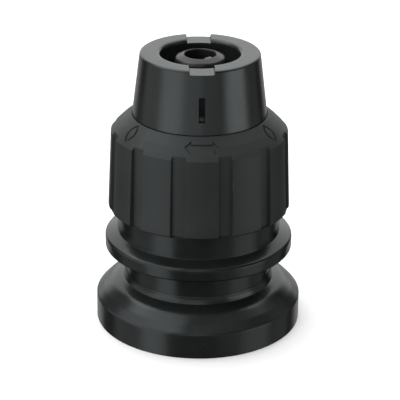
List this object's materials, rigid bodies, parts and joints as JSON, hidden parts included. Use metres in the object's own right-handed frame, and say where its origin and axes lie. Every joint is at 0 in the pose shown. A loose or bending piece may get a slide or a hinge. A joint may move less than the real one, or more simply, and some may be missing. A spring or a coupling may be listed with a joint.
{
  "type": "drill chuck",
  "caption": "Removable hammer-drill chuck: bored nose over a tool holder, ribbed turning sleeve with engraved arrows, and a flanged collar that slides to release it from its machine.",
  "frame": {"origin": "centre of the bottom face of the rear flange, on the chuck's axis", "axes": "+Z along the axis from the machine end towards the nose, -Y the front with the nose's index mark, +X to the right seen from the front"},
  "size_m": [0.0678, 0.0678, 0.0922],
  "materials": {
    "nose_plastic": "satin black glass-filled plastic",
    "sleeve_plastic": "satin black glass-filled plastic",
    "collar_plastic": "satin black glass-filled plastic",
    "flange_plastic": "satin black glass-filled plastic",
    "holder_steel": "hardened steel, black oxide",
    "socket_steel": "ground steel, oiled",
    "hard_steel": "polished bearing steel",
    "cam_steel": "sintered steel",
    "spring_steel": "blued spring steel",
    "washer_steel": "zinc plated",
    "bronze": "sintered bronze",
    "seal_rubber": "matt black nitrile"
  },
  "bodies": {
    "holder": {"nose_cone": "nose_plastic", "dust_seal": "seal_rubber", "nose_circlip": "spring_steel", "tool_holder": "holder_steel", "guide_bush": "bronze", "seat_circlip": "spring_steel", "spring_seat": "washer_steel", "thrust_washer": "washer_steel", "holder_circlip": "spring_steel", "damper_ring": "seal_rubber", "spindle_socket": "socket_steel", "socket_o_ring": "seal_rubber", "collar_circlip": "spring_steel", "collar_spring": "spring_steel"},
    "grip": {"grip_sleeve": "sleeve_plastic", "cam_ring": "cam_steel", "cam_circlip": "spring_steel", "wave_washer": "spring_steel"},
    "lock_ball_a": {"lock_ball_1": "hard_steel"},
    "lock_ball_b": {"lock_ball_2": "hard_steel"},
    "collar": {"collar_neck": "collar_plastic", "rear_flange": "flange_plastic", "lock_ring": "cam_steel"},
    "coupling_ball_a": {"coupling_ball_1": "hard_steel"},
    "coupling_ball_b": {"coupling_ball_2": "hard_steel"},
    "coupling_ball_c": {"coupling_ball_3": "hard_steel"}
  },
  "joints": [
    {"name": "grip_twist", "type": "hinge", "parent": "holder", "child": "grip", "pos_m": [0, 0, 0.05], "axis": [0, 0, 1], "range_deg": [0, 30]},
    {"name": "lock_ball_a_slide", "type": "slide", "parent": "holder", "child": "lock_ball_a", "axis": [0.7431, 0.6691, 0], "range_m": [0, 0.0017]},
    {"name": "lock_ball_b_slide", "type": "slide", "parent": "holder", "child": "lock_ball_b", "axis": [-0.7431, -0.6691, 0], "range_m": [0, 0.0017]},
    {"name": "collar_slide", "type": "slide", "parent": "holder", "child": "collar", "axis": [0, 0, 1], "range_m": [0, 0.006], "stiffness_N_per_m": 1500, "springref_m": -0.01, "deforming": ["collar_spring"]},
    {"name": "coupling_ball_a_slide", "type": "slide", "parent": "holder", "child": "coupling_ball_a", "axis": [0, 1, 0], "range_m": [0, 0.0012]},
    {"name": "coupling_ball_b_slide", "type": "slide", "parent": "holder", "child": "coupling_ball_b", "axis": [-0.866, -0.5, 0], "range_m": [0, 0.0012]},
    {"name": "coupling_ball_c_slide", "type": "slide", "parent": "holder", "child": "coupling_ball_c", "axis": [0.866, -0.5, 0], "range_m": [0, 0.0012]}
  ],
  "couplings": [
    {"joint": "lock_ball_a_slide", "follows": "grip_twist", "m_per_rad": 0.00324},
    {"joint": "lock_ball_b_slide", "follows": "grip_twist", "m_per_rad": 0.00324},
    {"joint": "coupling_ball_a_slide", "follows": "collar_slide", "ratio": 0.199},
    {"joint": "coupling_ball_b_slide", "follows": "collar_slide", "ratio": 0.199},
    {"joint": "coupling_ball_c_slide", "follows": "collar_slide", "ratio": 0.199}
  ]
}
